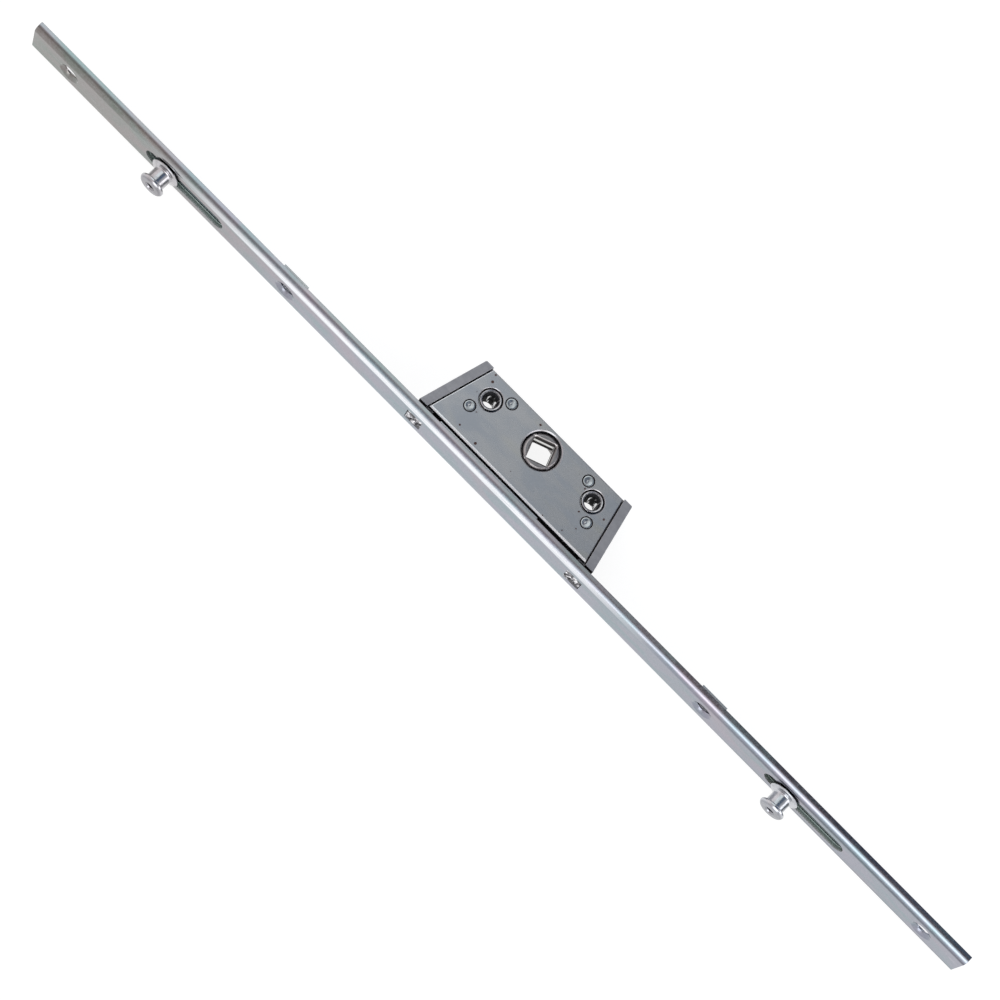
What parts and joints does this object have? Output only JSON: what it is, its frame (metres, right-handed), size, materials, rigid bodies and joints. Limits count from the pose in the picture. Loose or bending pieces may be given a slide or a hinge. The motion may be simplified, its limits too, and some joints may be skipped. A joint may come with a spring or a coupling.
{
  "type": "window espagnolette gearbox",
  "caption": "Window espagnolette gearbox: a long channel faceplate carries a slanted gear case whose turning square socket slides a hidden rod with mushroom cams.",
  "frame": {"origin": "on the spindle axis, halfway between the two handle screw bores and halfway across the faceplate's width", "axes": "+X along the faceplate, +Y from the faceplate back into the sash, +Z along the spindle towards the steel cover plate"},
  "size_m": [0.392, 0.0349, 0.016],
  "materials": {
    "zinc_plated_channel": "bright zinc plated folded steel, faint iridescence",
    "zinc_plated_cover": "zinc plated blanked steel, satin with fine scratches",
    "zinc_plated_rod": "zinc plated flat bar",
    "cast_zinc": "satin die-cast zinc alloy",
    "cast_follower": "satin cast zinc alloy",
    "pressed_steel": "plated pressed steel",
    "turned_steel": "bright turned steel",
    "rivet_steel": "plated riveted steel",
    "cam_zinc": "bright zinc plated turned steel with machining rings"
  },
  "bodies": {
    "case": {"faceplate": "zinc_plated_channel", "housing": "cast_zinc", "cover_plate": "zinc_plated_cover", "screw_bush_left": "turned_steel", "screw_bush_right": "turned_steel", "case_rivet_left_inner": "rivet_steel", "case_rivet_left_outer": "rivet_steel", "case_rivet_right_inner": "rivet_steel", "case_rivet_right_outer": "rivet_steel", "screw_guide_left": "pressed_steel", "screw_guide_right": "pressed_steel"},
    "rod": {"drive_rod": "zinc_plated_rod", "rack": "pressed_steel", "rack_rivet_left": "rivet_steel", "rack_rivet_right": "rivet_steel", "cam_washer_left": "pressed_steel", "cam_washer_right": "pressed_steel"},
    "follower": {"follower": "cast_follower"},
    "cam_left": {"cam_left": "cam_zinc"},
    "cam_right": {"cam_right": "cam_zinc"}
  },
  "joints": [
    {"name": "rod_slide", "type": "slide", "parent": "case", "child": "rod", "axis": [1, 0, 0], "range_m": [-0.00604, 0.01987]},
    {"name": "spindle_turn", "type": "hinge", "parent": "case", "child": "follower", "pos_m": [0, 0, 0], "axis": [0, 0, 1], "range_deg": [-21, 69]},
    {"name": "cam_left_turn", "type": "hinge", "parent": "rod", "child": "cam_left", "pos_m": [-0.13821, -0.0176, 0], "axis": [0, -1, 0], "continuous": true},
    {"name": "cam_right_turn", "type": "hinge", "parent": "rod", "child": "cam_right", "pos_m": [0.12439, -0.0176, 0], "axis": [0, -1, 0], "continuous": true}
  ],
  "couplings": [
    {"joint": "spindle_turn", "follows": "rod_slide", "rad_per_m": 60.606}
  ]
}
